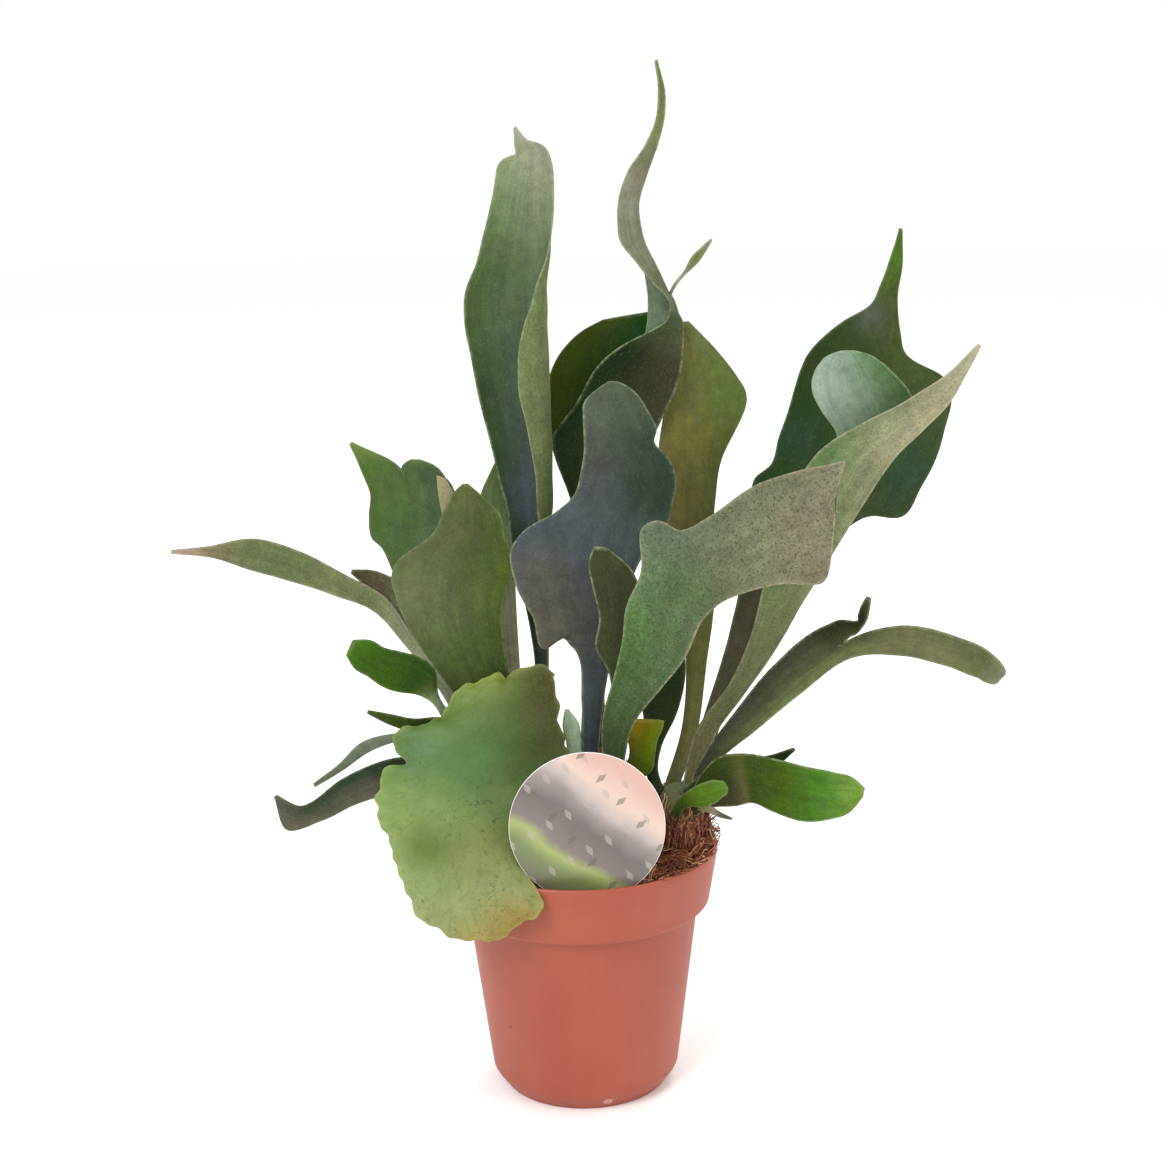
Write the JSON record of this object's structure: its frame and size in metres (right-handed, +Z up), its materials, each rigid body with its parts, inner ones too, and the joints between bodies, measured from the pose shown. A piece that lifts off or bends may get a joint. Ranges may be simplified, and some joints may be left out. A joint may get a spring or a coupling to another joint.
{
  "type": "staghorn fern in a nursery pot",
  "caption": "Staghorn fern with long felted fronds and a round shield frond, growing in a stepped plastic nursery pot with a round card label.",
  "frame": {"origin": "centre of the pot's flat underside", "axes": "+Z up, +X to the plant's right as seen from its front, -Y to the front, where the card and the shield frond are"},
  "size_m": [0.3557, 0.2009, 0.4448],
  "materials": {
    "pot": "moulded terracotta polypropylene, matte",
    "substrate": "moist coir fibre, bark and fern roots",
    "rhizome": "brown papery scales",
    "frond": "leathery green blade with a thin grey felt of hairs",
    "shield": "young yellow-green shield blade with netted veins",
    "label": "printed plastic card, satin"
  },
  "bodies": {
    "root": {"pot": "pot", "substrate": "substrate", "rhizome_left": "rhizome", "rhizome_centre": "rhizome", "rhizome_right": "rhizome", "tall_left_frond": "frond", "twisted_frond": "frond", "back_centre_frond": "frond", "olive_right_frond": "frond", "centre_frond": "frond", "small_front_frond": "frond", "felted_front_frond": "frond", "long_right_frond": "frond", "back_right_frond": "frond", "arching_right_frond": "frond", "low_right_frond": "frond", "low_right_shoot": "frond", "low_right_back_frond": "frond", "small_back_frond": "frond", "young_frond": "frond", "bud": "frond", "broad_left_frond": "frond", "back_left_frond": "frond", "long_left_frond": "frond", "bright_left_frond": "frond", "narrow_left_frond": "frond", "thin_left_frond": "frond", "low_left_frond": "frond", "behind_left_frond": "frond", "shield_frond": "shield", "plant_label": "label"}
  },
  "joints": []
}
